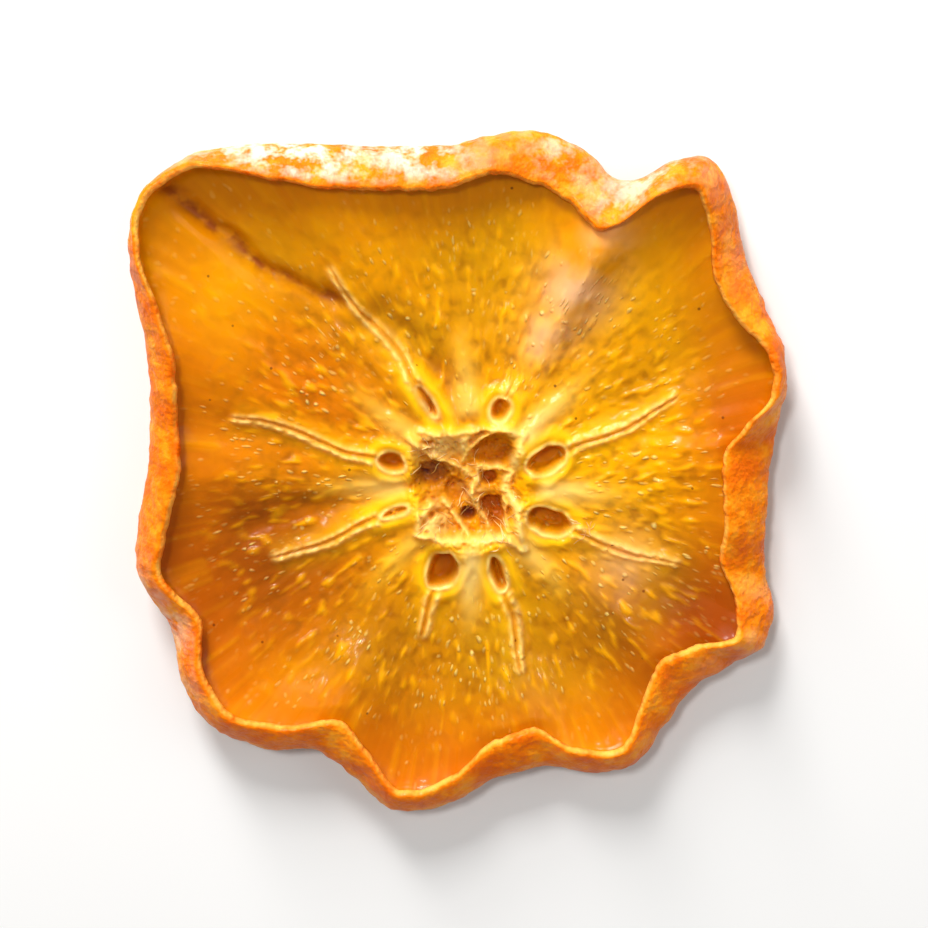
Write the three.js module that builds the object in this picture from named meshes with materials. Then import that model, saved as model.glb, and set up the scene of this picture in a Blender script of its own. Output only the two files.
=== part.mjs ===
// A dried persimmon slice, cut across the fruit and curled up as it dried, lying on its back with the
// cut face up. It is one piece: flesh with a star of eight seed chambers round the core, and a strip of
// peel round the rim that kept its height while the flesh sank, so that it scalloped and rolled inwards.
//
// Millimetres, +Z up. The origin is under the core, on the surface the slice rests on. Bearings are in
// degrees, anticlockwise from +X as seen from above.

import * as THREE from "three";

// Section
const restRadius = 9; // flat spot under the core, pressed flat on the drying tray
const rimRise = 2.3; // how far the flesh has lifted off the surface by the time it meets the rim
const coreThickness = 3.4;
const fleshThickness = 2.3;
const leastThickness = 1.1; // left under a pit or a crease
const peelWidth = 6.2; // the slice's thickness when it was fresh, which the peel has kept
const lipWidth = 0.7; // the cut edge of the peel, and about the least that its wall is thick
const webInset = 6.2; // where the flesh starts to turn up into the peel
const backEdgeInset = 1.1;
const backEdgeHeight = 1.9;
const faceReach = 24.4; // how far out the cut face goes, before the scallops

// The rim in plan, read off the photograph where it shows: bearing, how far out the peel bulges there, and
// how far in its cut edge leans from the bulge.
const rim = [
  [0, 27.8, 4.5], [8, 28.6, 5.0], [14, 29.6, 3.6], [19, 30.3, 1.2], [25, 31.0, 0.9], [31, 31.5, 2.1],
  [38, 32.3, 3.2], [44, 34.0, 3.8], [50, 36.2, 3.3], [55, 37.1, 2.6], [59, 35.4, 2.7], [62.5, 32.4, 4.3],
  [66, 31.5, 4.7], [72, 32.8, 4.7], [80, 33.3, 4.3], [87, 32.4, 2.9], [95, 31.6, 3.4], [106, 32.8, 3.7],
  [116, 35.4, 3.8], [124, 38.0, 2.4], [130, 39.3, 0.0], [136, 39.7, -0.5], [143, 38.4, 0.8], [149, 36.0, 2.9],
  [155, 33.2, 3.1], [163, 31.2, 2.7], [175, 30.2, 3.0], [186, 31.3, 2.8], [196, 32.6, 2.4], [206, 32.0, 3.3],
  [215, 33.8, 2.7], [223, 34.6, 2.9], [232, 33.4, 4.0], [241, 30.6, 4.6], [249, 31.6, 3.8], [257, 33.6, 2.9],
  [266, 32.4, 3.8], [275, 29.7, 4.8], [283, 29.3, 5.0], [291, 31.0, 3.6], [299, 32.0, 2.8], [307, 30.7, 4.0],
  [316, 29.5, 4.9], [324, 30.7, 4.6], [330, 31.9, 3.4], [335, 31.6, 4.2], [342, 29.3, 4.8], [351, 28.0, 4.1],
];

// Folds of the whole sheet, which run from round the core out to the rim.
const folds = [
  { bearing: 8, spread: 9, rise: 0.7 },
  { bearing: 31, spread: 12, rise: -1.0 },
  { bearing: 61, spread: 7, rise: 2.3 },
  { bearing: 88, spread: 15, rise: -1.7 },
  { bearing: 118, spread: 6, rise: 1.4 },
  { bearing: 131, spread: 6, rise: -1.1 },
  { bearing: 152, spread: 10, rise: 1.0 },
  { bearing: 167, spread: 5, rise: -0.6 },
  { bearing: 178, spread: 8, rise: 0.8 },
  { bearing: 206, spread: 13, rise: -1.0 },
  { bearing: 240, spread: 8, rise: 1.3 },
  { bearing: 258, spread: 9, rise: -0.8 },
  { bearing: 279, spread: 8, rise: 1.5 },
  { bearing: 300, spread: 10, rise: -0.9 },
  { bearing: 317, spread: 7, rise: 1.1 },
  { bearing: 340, spread: 8, rise: -0.4 },
];

// Creases pressed into the cut face, each a short line in plan with its depth and half width. One with a
// depth below nought is a ridge.
const creases = [
  { x1: -24.5, y1: 25.0, x2: -18.3, y2: 19.6, deep: 0.9, wide: 0.9 },
  { x1: -18.3, y1: 19.6, x2: -12.6, y2: 17.2, deep: 0.8, wide: 0.8 },
  { x1: -8.6, y1: 15.2, x2: -1.6, y2: 9.2, deep: 0.9, wide: 1.6 },
  { x1: -4.6, y1: 8.8, x2: -3.1, y2: 5.8, deep: 0.5, wide: 0.6 },
  { x1: 4.2, y1: 10.5, x2: 7.0, y2: 18.5, deep: 0.5, wide: 1.4 },
  { x1: 6.6, y1: 11.5, x2: 10.4, y2: 21.5, deep: -0.5, wide: 1.9 },
  { x1: -12.0, y1: 13.6, x2: -5.0, y2: 7.6, deep: -0.6, wide: 2.2 },
  { x1: -6.5, y1: -0.4, x2: -21.0, y2: -4.6, deep: 0.7, wide: 1.5 },
  { x1: 3.8, y1: -11.0, x2: 5.6, y2: -18.0, deep: 0.5, wide: 0.8 },
];
const creaseFade = 1.4; // how far a crease goes on past its ends

// Seed chambers: an oval pit at a distance from the core's middle, and the shut slit that leads outwards
// from it. Long and wide are the pit's half sizes, and bow is how far the slit strays sideways in 10 mm.
const chambers = [
  { bearing: 17, away: 7.1, long: 1.95, wide: 1.25, deep: 1.7, slitEnd: 20.6, bow: 1.5 },
  { bearing: 70, away: 7.3, long: 1.2, wide: 0.9, deep: 1.2, slitEnd: 10.6, bow: 0 },
  { bearing: 118, away: 8.6, long: 1.7, wide: 0.4, deep: 0.4, slitEnd: 24.3, bow: 1.2 },
  { bearing: 166, away: 7.7, long: 1.35, wide: 0.95, deep: 1.0, slitEnd: 23.4, bow: -0.6 },
  { bearing: 202, away: 7.8, long: 1.4, wide: 0.4, deep: 0.4, slitEnd: 20.5, bow: 0 },
  { bearing: 252, away: 9.0, long: 1.95, wide: 1.4, deep: 1.8, slitEnd: 16.4, bow: -0.4 },
  { bearing: 285, away: 9.2, long: 1.9, wide: 0.7, deep: 1.4, slitEnd: 19.4, bow: 0 },
  { bearing: 331, away: 8.0, long: 2.2, wide: 1.35, deep: 1.8, slitEnd: 21.0, bow: 1.7 },
];
const collarHeight = 0.5; // the thick smooth flesh round a pit and along a slit
const collarWidth = 0.95;

// The torn core: a shallow hollow, deeper wells in it, and the pale walls between chambers.
const coreCentre = { x: -0.4, y: -0.6 };
const coreRadius = 5.5;
const coreDepth = 0.8;
const coreRimHeight = 0.4;
const wells = [
  { x: 1.75, y: 3.1, radius: 2.3, deep: 1.0 },
  { x: 1.5, y: 0.3, radius: 0.9, deep: 0.7 },
  { x: -1.6, y: -0.9, radius: 1.3, deep: 0.8 },
  { x: 2.0, y: -3.0, radius: 1.8, deep: 1.2 },
  { x: -0.4, y: -3.3, radius: 0.9, deep: 0.9 },
  { x: -3.6, y: 0.6, radius: 1.5, deep: 0.8 },
];
const wallHeight = 0.42;
const wallReach = 17;

// Mesh: spacing of the points, in mm
const starSpacing = 0.76; // on the cut face, as far out as the slits
const outerSpacing = 1.25; // from there to the peel
const backSpacing = 2.3;
const starReach = 0.72; // share of the cut face that has the star
const rimPoints = 160;

const toRadians = Math.PI / 180;
const { lerp, smoothstep, clamp } = THREE.MathUtils;

// The angle from one bearing to another, from -180 to 180 degrees.
function between(from, to) {
  return ((((to - from + 180) % 360) + 360) % 360) - 180;
}

// The sum at a bearing of one property of rounded bumps spaced round the slice.
function bumps(list, property, bearing) {
  return list.reduce((sum, bump) => {
    const away = between(bump.bearing, bearing) / bump.spread;
    return sum + bump[property] * Math.exp(-away * away);
  }, 0);
}

// A column of the rim's table as a smooth closed curve over the bearing: cubic from row to row, and level at
// each row that is higher or lower than both of its neighbours.
function roundCurve(column) {
  const rows = rim.length;
  const gaps = rim.map((row, i) => (rim[(i + 1) % rows][0] - row[0] + 360) % 360);
  const slopes = rim.map((row, i) => (rim[(i + 1) % rows][column] - row[column]) / gaps[i]);
  const tangents = slopes.map((slope, i) => {
    const before = slopes[(i + rows - 1) % rows];
    return slope * before <= 0 ? 0 : (2 * slope * before) / (slope + before);
  });
  return (bearing) => {
    const wrapped = ((bearing % 360) + 360) % 360;
    const i = rim.findLastIndex((row) => row[0] <= wrapped);
    const next = (i + 1) % rows;
    const share = (wrapped - rim[i][0]) / gaps[i];
    const rest = 1 - share;
    return (
      rim[i][column] * (1 + 2 * share) * rest ** 2 +
      rim[next][column] * (3 - 2 * share) * share ** 2 +
      gaps[i] * share * rest * (tangents[i] * rest - tangents[next] * share)
    );
  };
}

const outerAt = roundCurve(1);
const rollAt = roundCurve(2);

// Measures of the section at a bearing. The bend inside the peel stays further in where the peel leans more,
// so that its wall keeps its thickness.
function sectionAt(bearing) {
  const outer = outerAt(bearing);
  const roll = rollAt(bearing);
  const fold = bumps(folds, "rise", bearing);
  const backHeight = backEdgeHeight + 0.5 * fold;
  const frontHeight = backHeight + Math.sqrt(peelWidth ** 2 - roll ** 2) + 0.2 * fold;
  const lean = roll / peelWidth; // sine of the peel's lean, by which its cut edge tips as well
  return {
    outer,
    fold,
    web: outer - webInset,
    frontEdge: outer - roll,
    frontHeight,
    insideEdge: outer - roll - lipWidth * Math.sqrt(1 - lean ** 2),
    insideHeight: frontHeight - 0.15 - lipWidth * Math.max(lean, 0),
    insideCorner: outer - 0.8 - 0.24 * Math.max(roll, 0),
    backHeight,
  };
}

// Height of the underside's sheet at a distance from the middle.
function underside(radius, section) {
  const along = clamp((radius - restRadius) / (section.web - restRadius), 0, 1.2);
  const swell = smoothstep(radius, restRadius, section.web);
  return rimRise * along ** 1.4 + section.fold * 0.8 * swell;
}

function thickness(radius) {
  return lerp(coreThickness, fleshThickness, smoothstep(radius, 6, 19));
}

// Relief of one seed chamber on the cut face: the pit in its collar, and the slit.
function chamberRelief(chamber, x, y) {
  const turn = chamber.bearing * toRadians;
  const along = x * Math.cos(turn) + y * Math.sin(turn);
  const across = y * Math.cos(turn) - x * Math.sin(turn);
  const pitEnd = chamber.away + chamber.long;
  const pitOval = Math.hypot((along - chamber.away) / chamber.long, across / chamber.wide);
  const pit = 1 - smoothstep(pitOval, 0.45, 1.05);
  const beyond = smoothstep(along, pitEnd - 0.5, pitEnd + 3);
  const stray = (chamber.bow * Math.max(along - chamber.away, 0)) / 10;
  const side = across - stray - beyond * 0.4 * Math.sin(along * 0.45 + chamber.bearing);
  const slitLeft = 1 - smoothstep(along, chamber.slitEnd - 1.2, chamber.slitEnd);
  const fading = 1 - 0.6 * smoothstep(along, pitEnd, chamber.slitEnd);
  const slit = beyond * slitLeft * fading * Math.exp(-((side / collarWidth) ** 2));
  const collarOval = Math.hypot((along - chamber.away) / (chamber.long + 0.6), side / (chamber.wide + 0.6));
  const collar = Math.exp(-(((collarOval - 1.05) / 0.34) ** 2));
  return collarHeight * Math.max(collar, slit) * (1 - pit) - chamber.deep * pit;
}

// Relief of the creases: where two meet, the deeper counts, and of two ridges the higher.
function creaseRelief(x, y) {
  const depths = creases.map((crease) => {
    const dx = crease.x2 - crease.x1;
    const dy = crease.y2 - crease.y1;
    const length = Math.hypot(dx, dy);
    const along = ((x - crease.x1) * dx + (y - crease.y1) * dy) / length;
    const across = ((y - crease.y1) * dx - (x - crease.x1) * dy) / length;
    const past = Math.max(-along, along - length, 0);
    return crease.deep * Math.exp(-((across / crease.wide) ** 2) - (past / creaseFade) ** 2);
  });
  return -Math.max(...depths, 0) - Math.min(...depths, 0);
}

// Relief of the core, and of the pale walls that run out from it between the chambers.
function coreRelief(x, y) {
  const radius = Math.hypot(x - coreCentre.x, y - coreCentre.y);
  const turn = Math.atan2(y - coreCentre.y, x - coreCentre.x);
  const squareness = 1 + 0.06 * Math.cos(4 * (turn - 0.73)) + 0.06 * Math.sin(3 * turn);
  const edge = coreRadius * squareness;
  const hollow = -coreDepth * (1 - smoothstep(radius, edge - 1.4, edge));
  const raised = coreRimHeight * Math.exp(-(((radius - edge - 0.3) / 0.8) ** 2));
  const depths = wells.map((well) => {
    const away = Math.hypot(x - well.x, y - well.y) / well.radius;
    return well.deep * (1 - smoothstep(away, 0.5, 1.05));
  });
  return hollow + raised - Math.max(...depths);
}

function wallRelief(radius, bearing) {
  const out = smoothstep(radius, coreRadius, coreRadius + 1.5) * (1 - smoothstep(radius, 9, wallReach));
  return chambers.reduce((sum, chamber, index) => {
    const next = chambers[(index + 1) % chambers.length];
    const middle = chamber.bearing + between(chamber.bearing, next.bearing) / 2;
    const across = (between(middle, bearing) * toRadians * radius) / 1.1;
    return sum + out * wallHeight * Math.exp(-across * across);
  }, 0);
}

// Height of the cut face as far out as the turn into the peel.
function cutFace(radius, bearing, section) {
  const x = radius * Math.cos(bearing * toRadians);
  const y = radius * Math.sin(bearing * toRadians);
  const star = chambers.reduce((sum, chamber) => sum + chamberRelief(chamber, x, y), 0);
  const dimples = 0.1 * Math.sin(x * 0.9 + 1.3 * Math.sin(y * 0.5)) * Math.sin(y * 0.8 + 2);
  const middle = coreRelief(x, y) + wallRelief(radius, bearing);
  const relief = star + middle + creaseRelief(x, y) + dimples;
  const back = underside(radius, section);
  return Math.max(back + thickness(radius) + relief, Math.max(back, 0) + leastThickness);
}

function point(radius, height, bearing) {
  return new THREE.Vector3(
    radius * Math.cos(bearing * toRadians),
    radius * Math.sin(bearing * toRadians),
    height,
  );
}

// A point on a smooth bend from one place of the section to another, drawn towards a corner between them.
function bend(share, from, corner, to, bearing) {
  const weights = [(1 - share) ** 2, 2 * share * (1 - share), share ** 2];
  const radius = weights[0] * from[0] + weights[1] * corner[0] + weights[2] * to[0];
  const height = weights[0] * from[1] + weights[1] * corner[1] + weights[2] * to[1];
  return point(radius, height, bearing);
}

// Round near the core, and scalloped like the outline further out.
function reachOf(share, section) {
  return share * lerp(faceReach, section.web, smoothstep(share, 0.45, 1));
}

// The parts of the section, each as a point at a share of the way along it.
function onCutFace(share, bearing) {
  const section = sectionAt(bearing);
  const radius = reachOf(share, section);
  return point(radius, cutFace(radius, bearing, section), bearing);
}

function onInsideOfPeel(share, bearing) {
  const section = sectionAt(bearing);
  const start = [section.web, cutFace(section.web, bearing, section)];
  const corner = [section.insideCorner, Math.min(start[1] + 0.6, section.insideHeight - 0.9)];
  const end = [section.insideEdge, section.insideHeight];
  return bend(share, start, corner, end, bearing);
}

function onOutsideOfPeel(share, bearing) {
  const section = sectionAt(bearing);
  const start = [section.frontEdge, section.frontHeight];
  const corner = [section.outer + 1.0, lerp(section.backHeight, section.frontHeight, 0.52)];
  const end = [section.outer - backEdgeInset, section.backHeight];
  return bend(share, start, corner, end, bearing);
}

// The shallow grooves of the star, which show on the underside too.
function grooves(radius, bearing) {
  const out = smoothstep(radius, restRadius + 0.5, restRadius + 3) * (1 - smoothstep(radius, 15, 20));
  return chambers.reduce((sum, chamber) => {
    const across = (between(chamber.bearing, bearing) * toRadians * radius) / 1.1;
    return sum + 0.3 * out * Math.exp(-across * across);
  }, 0);
}

function onUnderside(share, bearing) {
  const section = sectionAt(bearing);
  const radius = Math.min(restRadius + share * (section.web - restRadius), section.web);
  return point(radius, Math.max(underside(radius, section), 0) + grooves(radius, bearing), bearing);
}

function onBackOfRim(share, bearing) {
  const section = sectionAt(bearing);
  const start = [section.outer - backEdgeInset - lipWidth, section.backHeight - 0.1];
  const end = [section.web, underside(section.web, section)];
  const corner = [lerp(end[0], start[0], 0.5), Math.max(start[1], end[1]) + 0.3];
  return bend(share, start, corner, end, bearing);
}

// Rings of points from the middle of the cut face, out over the peel and back to the middle underneath.
function ringsOfSlice() {
  const rings = [];
  const add = (place, share, count) => {
    rings.push(Array.from({ length: count }, (_, i) => place(share, (360 * i) / count)));
  };
  const starRings = Math.round((faceReach * starReach) / starSpacing);
  for (let i = 0; i <= starRings; i++) {
    add(onCutFace, (starReach * i) / starRings, i === 0 ? 1 : 6 * i);
  }
  const outerRings = Math.round((faceReach * (1 - starReach)) / outerSpacing);
  for (let i = 1; i <= outerRings; i++) {
    add(onCutFace, lerp(starReach, 1, i / outerRings), rimPoints);
  }
  [0.16, 0.33, 0.5, 0.67, 0.84, 1].forEach((share) => add(onInsideOfPeel, share, rimPoints));
  [0, 0.2, 0.4, 0.6, 0.8, 1].forEach((share) => add(onOutsideOfPeel, share, rimPoints));
  [0, 0.5].forEach((share) => add(onBackOfRim, share, rimPoints));
  const backRings = Math.round((faceReach - restRadius) / backSpacing);
  for (let i = backRings; i >= 0; i--) {
    add(onUnderside, i / backRings, Math.round(lerp(32, 110, i / backRings)));
  }
  add(() => new THREE.Vector3(0, 0, 0), 0, 1);
  return rings;
}

// Triangles between two neighbouring rings, which may have different numbers of points.
function stitch(inner, outer, triangles) {
  let i = 0;
  let j = 0;
  while (i < inner.count || j < outer.count) {
    const here = inner.start + (i % inner.count);
    const there = outer.start + (j % outer.count);
    const outerIsNext = i >= inner.count || (j < outer.count && (j + 1) / outer.count <= (i + 1) / inner.count);
    if (outerIsNext) j++;
    else i++;
    const next = outerIsNext ? outer.start + (j % outer.count) : inner.start + (i % inner.count);
    if (here !== next && there !== next) triangles.push(here, there, next);
  }
}

function geometryOfRings(rings) {
  const points = rings.flat();
  const triangles = [];
  let start = 0;
  let inner = null;
  for (const ring of rings) {
    const outer = { start, count: ring.length };
    if (inner) stitch(inner, outer, triangles);
    start += ring.length;
    inner = outer;
  }
  const geometry = new THREE.BufferGeometry().setFromPoints(points);
  geometry.setIndex(triangles);
  geometry.computeVertexNormals();
  return geometry;
}

const driedFlesh = new THREE.MeshStandardMaterial({ color: "#d9820f", roughness: 0.45, metalness: 0 });
const slice = new THREE.Mesh(geometryOfRings(ringsOfSlice()), driedFlesh);
slice.name = "persimmon_slice";

const persimmon = new THREE.Group();
persimmon.add(slice);

export default persimmon;
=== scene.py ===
# A dried persimmon slice on a pale studio floor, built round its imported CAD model.
import bpy
import math
import numpy as np
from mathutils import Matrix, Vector, noise


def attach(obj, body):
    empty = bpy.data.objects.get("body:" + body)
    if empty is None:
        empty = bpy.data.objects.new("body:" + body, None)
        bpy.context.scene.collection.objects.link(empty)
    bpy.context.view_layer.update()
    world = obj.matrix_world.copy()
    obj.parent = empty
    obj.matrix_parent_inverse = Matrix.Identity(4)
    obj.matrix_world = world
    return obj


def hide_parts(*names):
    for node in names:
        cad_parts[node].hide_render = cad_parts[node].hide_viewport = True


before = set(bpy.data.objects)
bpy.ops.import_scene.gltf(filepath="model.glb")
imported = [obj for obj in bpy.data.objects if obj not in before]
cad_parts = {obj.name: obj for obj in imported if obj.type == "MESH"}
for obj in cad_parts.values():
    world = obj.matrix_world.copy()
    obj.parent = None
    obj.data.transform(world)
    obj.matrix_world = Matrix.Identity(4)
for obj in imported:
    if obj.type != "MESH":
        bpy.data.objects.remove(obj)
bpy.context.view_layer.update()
print("frame loaded:", sorted(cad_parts))

mm = 0.001

# Section of the slice, in mm, as the CAD model has it. Bearings are degrees anticlockwise from +X.
sliceShape = {
    "restRadius": 9.0,  # flat spot under the core
    "rimRise": 2.3,  # how far the flesh has lifted by the time it meets the rim
    "riseCurve": 1.4,
    "foldSwell": 0.8,  # how much of a fold the flesh follows
    "coreThickness": 3.4,
    "fleshThickness": 2.3,
    "thinnest": 1.1,  # left under a pit or a crease
    "peelWidth": 6.2,
    "lip": 0.7,  # width of the peel's cut edge
    "lipRound": 0.15,
    "webInset": 6.2,  # where the flesh turns up into the peel
    "cornerInset": 0.8,  # the bend inside the peel, and how much further in it is where the peel leans
    "cornerLean": 0.24,
    "bulgeOut": 1.0,  # the bend of the peel's outside
    "bulgeHeight": 0.52,
    "backInset": 1.1,
    "backHeight": 1.9,
    "faceReach": 24.4,  # how far out the cut face goes, before the scallops
}

# How the skin strays from that section: the peel's cut edge and wrinkles, and the star's grooves underneath.
peelSkin = {
    "edgeRadius": 30,
    "ragged": 0.22,
    "raggedHeight": 0.1,
    "raggedMm": 1.5,
    "raggedFineMm": 0.6,
    "wrinkle": 0.22,
    "wrinkleMm": 1.6,
    "fineWrinkle": 0.12,
    "fineWrinkleMm": 0.7,
    "drawnIn": 0.05,
}
underGrooves = {"deep": 0.3, "halfWidth": 1.1, "fadeFrom": 15, "fadeTo": 20}

# The rim in plan: how far out the peel bulges, and how far in its cut edge leans from there.
rim = [
    (0, 27.8, 4.5), (8, 28.6, 5.0), (14, 29.6, 3.6), (19, 30.3, 1.2), (25, 31.0, 0.9),
    (31, 31.5, 2.1), (38, 32.3, 3.2), (44, 34.0, 3.8), (50, 36.2, 3.3), (55, 37.1, 2.6),
    (59, 35.4, 2.7), (62.5, 32.4, 4.3), (66, 31.5, 4.7), (72, 32.8, 4.7), (80, 33.3, 4.3),
    (87, 32.4, 2.9), (95, 31.6, 3.4), (106, 32.8, 3.7), (116, 35.4, 3.8), (124, 38.0, 2.4),
    (130, 39.3, 0.0), (136, 39.7, -0.5), (143, 38.4, 0.8), (149, 36.0, 2.9), (155, 33.2, 3.1),
    (163, 31.2, 2.7), (175, 30.2, 3.0), (186, 31.3, 2.8), (196, 32.6, 2.4), (206, 32.0, 3.3),
    (215, 33.8, 2.7), (223, 34.6, 2.9), (232, 33.4, 4.0), (241, 30.6, 4.6), (249, 31.6, 3.8),
    (257, 33.6, 2.9), (266, 32.4, 3.8), (275, 29.7, 4.8), (283, 29.3, 5.0), (291, 31.0, 3.6),
    (299, 32.0, 2.8), (307, 30.7, 4.0), (316, 29.5, 4.9), (324, 30.7, 4.6), (330, 31.9, 3.4),
    (335, 31.6, 4.2), (342, 29.3, 4.8), (351, 28.0, 4.1),
]

# Folds of the whole sheet, from round the core out to the rim.
folds = [
    {"bearing": 8, "spread": 9, "rise": 0.7},
    {"bearing": 31, "spread": 12, "rise": -1.0},
    {"bearing": 61, "spread": 7, "rise": 2.3},
    {"bearing": 88, "spread": 15, "rise": -1.7},
    {"bearing": 118, "spread": 6, "rise": 1.4},
    {"bearing": 131, "spread": 6, "rise": -1.1},
    {"bearing": 152, "spread": 10, "rise": 1.0},
    {"bearing": 167, "spread": 5, "rise": -0.6},
    {"bearing": 178, "spread": 8, "rise": 0.8},
    {"bearing": 206, "spread": 13, "rise": -1.0},
    {"bearing": 240, "spread": 8, "rise": 1.3},
    {"bearing": 258, "spread": 9, "rise": -0.8},
    {"bearing": 279, "spread": 8, "rise": 1.5},
    {"bearing": 300, "spread": 10, "rise": -0.9},
    {"bearing": 317, "spread": 7, "rise": 1.1},
    {"bearing": 340, "spread": 8, "rise": -0.4},
]

# Creases pressed into the cut face, each a short line in plan with its depth and half width, and how much of
# the darker crease colour, partly painted shade, it takes.
creases = [
    {"x1": -24.5, "y1": 25.0, "x2": -18.3, "y2": 19.6, "deep": 0.9, "wide": 0.9, "rust": 1.0},
    {"x1": -18.3, "y1": 19.6, "x2": -12.6, "y2": 17.2, "deep": 0.8, "wide": 0.8, "rust": 0.9},
    {"x1": -8.6, "y1": 15.2, "x2": -1.6, "y2": 9.2, "deep": 0.9, "wide": 1.6, "rust": 0.2},
    {"x1": -4.6, "y1": 8.8, "x2": -3.1, "y2": 5.8, "deep": 0.5, "wide": 0.6, "rust": 0.5},
    {"x1": 4.2, "y1": 10.5, "x2": 7.0, "y2": 18.5, "deep": 0.5, "wide": 1.4, "rust": 0.0},
    {"x1": 6.6, "y1": 11.5, "x2": 10.4, "y2": 21.5, "deep": -0.5, "wide": 1.9, "rust": 0.0},
    {"x1": -12.0, "y1": 13.6, "x2": -5.0, "y2": 7.6, "deep": -0.6, "wide": 2.2, "rust": 0.0},
    {"x1": -6.5, "y1": -0.4, "x2": -21.0, "y2": -4.6, "deep": 0.7, "wide": 1.5, "rust": 0.1},
    {"x1": 3.8, "y1": -11.0, "x2": 5.6, "y2": -18.0, "deep": 0.5, "wide": 0.8, "rust": 0.4},
]

# Seed chambers: an oval pit at a distance from the core's middle, and the shut slit that leads out of it.
chambers = [
    {"bearing": 17, "away": 7.1, "long": 1.95, "wide": 1.25, "deep": 1.7, "slitEnd": 20.6,
     "bow": 1.5, "wall": 0.9},
    {"bearing": 70, "away": 7.3, "long": 1.2, "wide": 0.9, "deep": 1.2, "slitEnd": 10.6,
     "bow": 0, "wall": 0.45},
    {"bearing": 118, "away": 8.6, "long": 1.7, "wide": 0.4, "deep": 0.4, "slitEnd": 24.3,
     "bow": 1.2, "wall": 0.4},
    {"bearing": 166, "away": 7.7, "long": 1.35, "wide": 0.95, "deep": 1.0, "slitEnd": 23.4,
     "bow": -0.6, "wall": 0.7},
    {"bearing": 202, "away": 7.8, "long": 1.4, "wide": 0.4, "deep": 0.4, "slitEnd": 20.5,
     "bow": 0, "wall": 0.25},
    {"bearing": 252, "away": 9.0, "long": 1.95, "wide": 1.4, "deep": 1.8, "slitEnd": 16.4,
     "bow": -0.4, "wall": 1.2},
    {"bearing": 285, "away": 9.2, "long": 1.9, "wide": 0.7, "deep": 1.4, "slitEnd": 19.4,
     "bow": 0, "wall": 0.6},
    {"bearing": 331, "away": 8.0, "long": 2.2, "wide": 1.35, "deep": 1.8, "slitEnd": 21.0,
     "bow": 1.7, "wall": 0.8},
]
chamberSkin = {
    "lipHeight": 0.3,
    "lipWidth": 0.2,
    "collarHeight": 0.45,
    "collarWidth": 0.95,
    "slitHalfGap": 0.5,
    "slitDepth": 0.22,
}

# The torn core: a squarish hollow, deeper wells in it, and the pale membranes left standing between them.
core = {"x": -0.4, "y": -0.6, "radius": 5.5, "depth": 0.8, "rimHeight": 0.4, "tear": 0.16}
wells = [
    {"x": 1.75, "y": 3.1, "radius": 2.3, "deep": 1.0, "dark": 0.45},
    {"x": 1.5, "y": 0.3, "radius": 0.9, "deep": 0.7, "dark": 1.0},
    {"x": -1.6, "y": -0.9, "radius": 1.3, "deep": 0.8, "dark": 0.35},
    {"x": 2.0, "y": -3.0, "radius": 1.8, "deep": 1.2, "dark": 0.85},
    {"x": -0.4, "y": -3.3, "radius": 0.9, "deep": 0.9, "dark": 1.0},
    {"x": -3.6, "y": 0.6, "radius": 1.5, "deep": 0.8, "dark": 0.5},
]
membranes = [
    {"path": [(2.4, 5.2), (4.6, 4.6), (3.7, 1.4), (2.9, -0.9), (4.1, -2.2), (4.3, -4.2), (4.8, -6.3)],
     "wide": 0.42, "high": 0.45, "pale": 1.0},
    {"path": [(-5.2, -4.9), (-1.9, -5.6), (0.8, -5.6), (3.0, -5.1), (4.4, -6.4)],
     "wide": 0.34, "high": 0.45, "pale": 0.95},
    {"path": [(-5.9, 4.4), (-3.9, 2.6), (-1.3, 1.4), (0.4, 0.2), (-0.1, -1.2), (0.7, -3.0), (1.5, -4.2)],
     "wide": 0.3, "high": 0.55, "pale": 0.75},
    {"path": [(0.4, 0.2), (0.5, 1.3), (2.3, 1.3), (3.4, 1.0)], "wide": 0.26, "high": 0.5, "pale": 0.8},
    {"path": [(-1.3, 1.4), (-0.4, 3.0), (0.9, 4.3), (2.4, 5.2)], "wide": 0.24, "high": 0.4, "pale": 0.7},
    {"path": [(-5.0, 4.9), (-2.6, 4.6), (-0.4, 4.9), (2.4, 5.2)], "wide": 0.3, "high": 0.35, "pale": 0.75},
    {"path": [(-2.6, -1.9), (-1.5, -3.6), (-0.2, -5.4)], "wide": 0.22, "high": 0.45, "pale": 0.8},
    {"path": [(-3.9, -2.1), (-4.9, -3.6), (-5.2, -4.9)], "wide": 0.3, "high": 0.4, "pale": 0.8},
    {"path": [(2.7, -0.9), (2.9, -2.2), (3.2, -4.6)], "wide": 0.2, "high": 0.45, "pale": 0.8},
]
foams = [
    {"x": -3.5, "y": 3.7, "size": 2.0},
    {"x": -0.9, "y": 3.6, "size": 1.1},
    {"x": -3.7, "y": -3.7, "size": 1.5},
    {"x": 3.9, "y": -5.7, "size": 1.0},
    {"x": -0.1, "y": -0.9, "size": 0.9},
]
duskSpots = [  # where the core went purple-brown as it dried, and nearly black
    {"x": -3.9, "y": 0.6, "wide": 1.6, "high": 1.0, "much": 0.85, "strandy": 0.4},
    {"x": -0.4, "y": -3.2, "wide": 0.6, "high": 0.5, "much": 0.85, "strandy": 0.0},
]
walls = {"height": 0.42, "reach": 17.0, "halfWidth": 1.0}

# Patterns drawn out along the radius, each with the width and length of its marks in mm.
streakSizes = {
    "fibres": {"wide": 0.75, "long": 2.6, "seed": 20},
    "coarse": {"wide": 1.9, "long": 6.0, "seed": 60},
    "blobs": {"wide": 0.62, "long": 1.5, "seed": 130},
    "fine": {"wide": 0.55, "long": 1.3, "seed": 170},
}
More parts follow.
